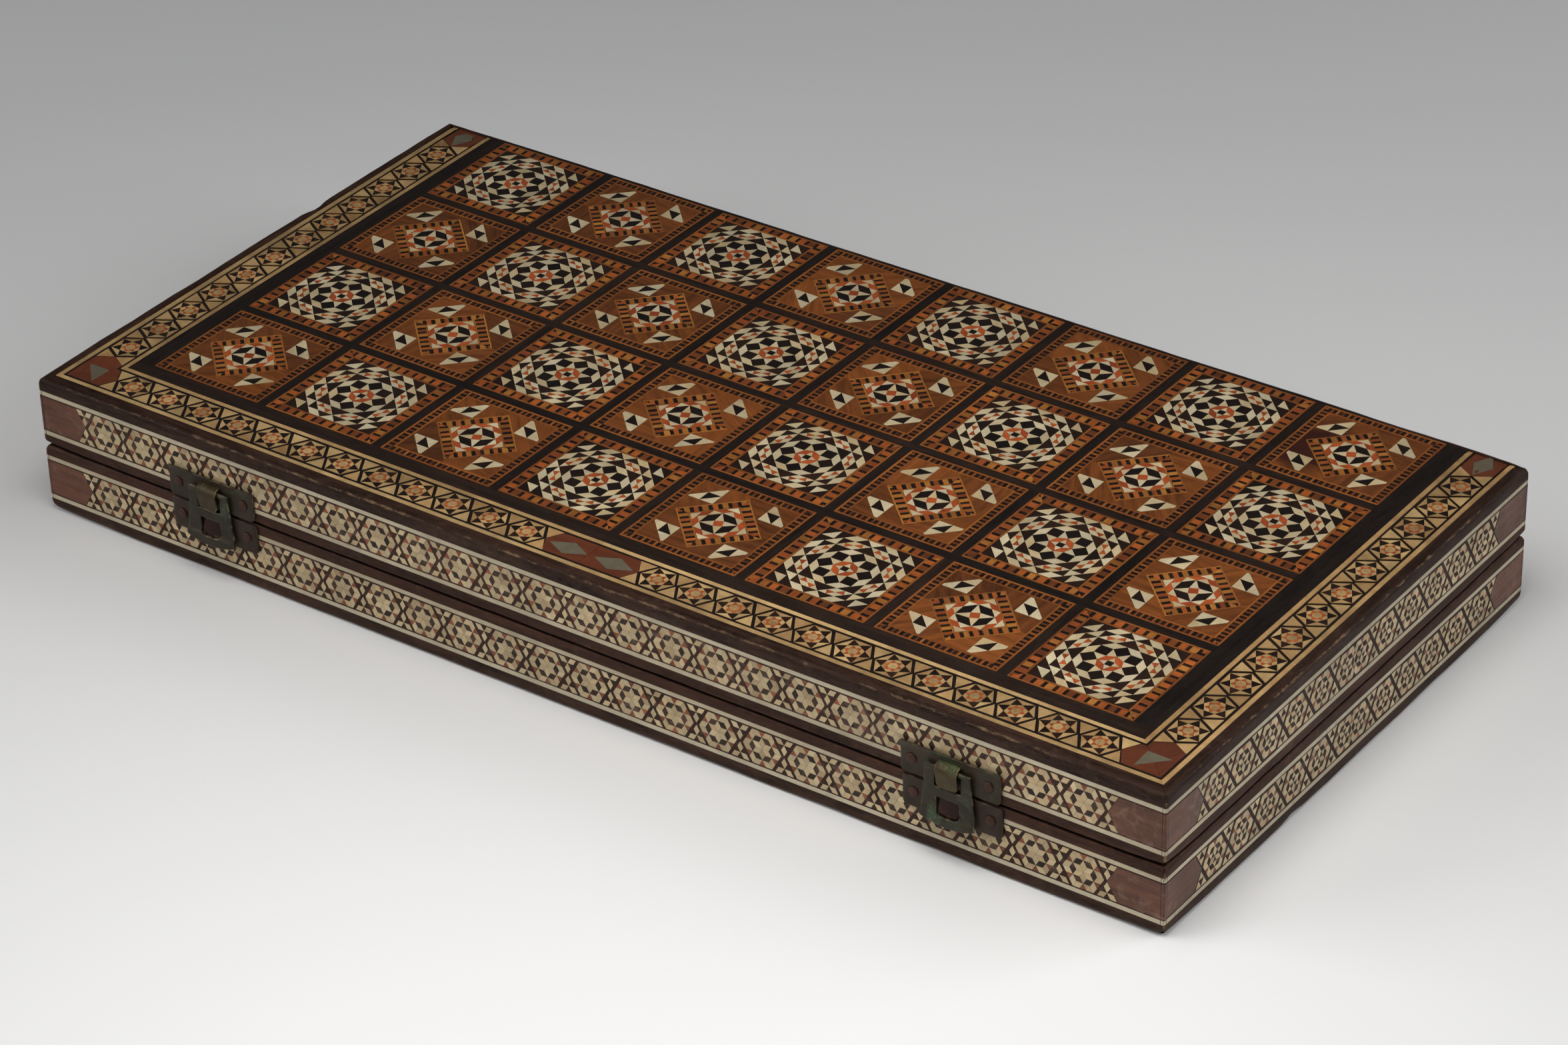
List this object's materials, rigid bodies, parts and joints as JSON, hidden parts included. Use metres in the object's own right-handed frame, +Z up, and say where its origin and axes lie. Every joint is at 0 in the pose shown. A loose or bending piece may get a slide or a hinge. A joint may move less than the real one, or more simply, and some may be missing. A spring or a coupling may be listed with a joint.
{
  "type": "folding game box",
  "caption": "Long flat folding box in two hinged halves, chessboard marquetry outside and backgammon trays inside, shut by swinging hasp latches.",
  "frame": {"origin": "middle of the underside of the closed box, on the plane that it rests on", "axes": "+X along the hinges to the right end, +Y from the latches to the hinges, +Z up; the box is closed and both hasps hang down over their keepers"},
  "size_m": [0.5, 0.258, 0.058],
  "materials": {
    "dark_walnut": "old satin varnish, worn on the edges",
    "chess_marquetry": "varnished wood and bone inlay",
    "border_marquetry": "varnished wood and bone inlay",
    "side_marquetry": "varnished wood and bone inlay",
    "backgammon_veneer": "satin varnish",
    "latch_brass": "dark green-brown patina",
    "rivet_brass": "dark red-brown patina",
    "hinge_steel": "tarnished"
  },
  "bodies": {
    "base": {"lower_panel": "dark_walnut", "lower_chess_field": "chess_marquetry", "lower_tray_lining": "backgammon_veneer", "lower_front_rail": "dark_walnut", "lower_front_banding": "side_marquetry", "lower_front_border": "border_marquetry", "lower_right_rail": "dark_walnut", "lower_right_banding": "side_marquetry", "lower_right_border": "border_marquetry", "lower_back_rail": "dark_walnut", "lower_back_banding": "side_marquetry", "lower_left_rail": "dark_walnut", "lower_left_banding": "side_marquetry", "lower_left_border": "border_marquetry", "left_hinge_lower_leaf": "hinge_steel", "left_hinge_lower_screw_1": "hinge_steel", "left_hinge_lower_screw_2": "hinge_steel", "left_latch_keeper": "latch_brass", "left_latch_keeper_rivet_1": "rivet_brass", "left_latch_keeper_rivet_2": "rivet_brass", "left_hinge_pin": "hinge_steel", "right_hinge_lower_leaf": "hinge_steel", "right_hinge_lower_screw_1": "hinge_steel", "right_hinge_lower_screw_2": "hinge_steel", "right_latch_keeper": "latch_brass", "right_latch_keeper_rivet_1": "rivet_brass", "right_latch_keeper_rivet_2": "rivet_brass", "right_hinge_pin": "hinge_steel"},
    "lid": {"upper_panel": "dark_walnut", "upper_chess_field": "chess_marquetry", "upper_tray_lining": "backgammon_veneer", "upper_front_rail": "dark_walnut", "upper_front_banding": "side_marquetry", "upper_front_border": "border_marquetry", "upper_right_rail": "dark_walnut", "upper_right_banding": "side_marquetry", "upper_right_border": "border_marquetry", "upper_back_rail": "dark_walnut", "upper_back_banding": "side_marquetry", "upper_left_rail": "dark_walnut", "upper_left_banding": "side_marquetry", "upper_left_border": "border_marquetry", "left_hinge_upper_leaf": "hinge_steel", "left_hinge_upper_screw_1": "hinge_steel", "left_hinge_upper_screw_2": "hinge_steel", "left_latch_plate": "latch_brass", "left_latch_plate_rivet_1": "rivet_brass", "left_latch_plate_rivet_2": "rivet_brass", "right_hinge_upper_leaf": "hinge_steel", "right_hinge_upper_screw_1": "hinge_steel", "right_hinge_upper_screw_2": "hinge_steel", "right_latch_plate": "latch_brass", "right_latch_plate_rivet_1": "rivet_brass", "right_latch_plate_rivet_2": "rivet_brass"},
    "left_hasp": {"left_latch_hasp": "latch_brass"},
    "right_hasp": {"right_latch_hasp": "latch_brass"}
  },
  "joints": [
    {"name": "lid_hinge", "type": "hinge", "parent": "base", "child": "lid", "pos_m": [0, 0.1255, 0.029], "axis": [-1, 0, 0], "range_deg": [0, 180]},
    {"name": "left_hasp_pivot", "type": "hinge", "parent": "lid", "child": "left_hasp", "pos_m": [-0.165, -0.1274, 0.037], "axis": [-1, 0, 0], "range_deg": [0, 150]},
    {"name": "right_hasp_pivot", "type": "hinge", "parent": "lid", "child": "right_hasp", "pos_m": [0.165, -0.1274, 0.037], "axis": [-1, 0, 0], "range_deg": [0, 150]}
  ]
}
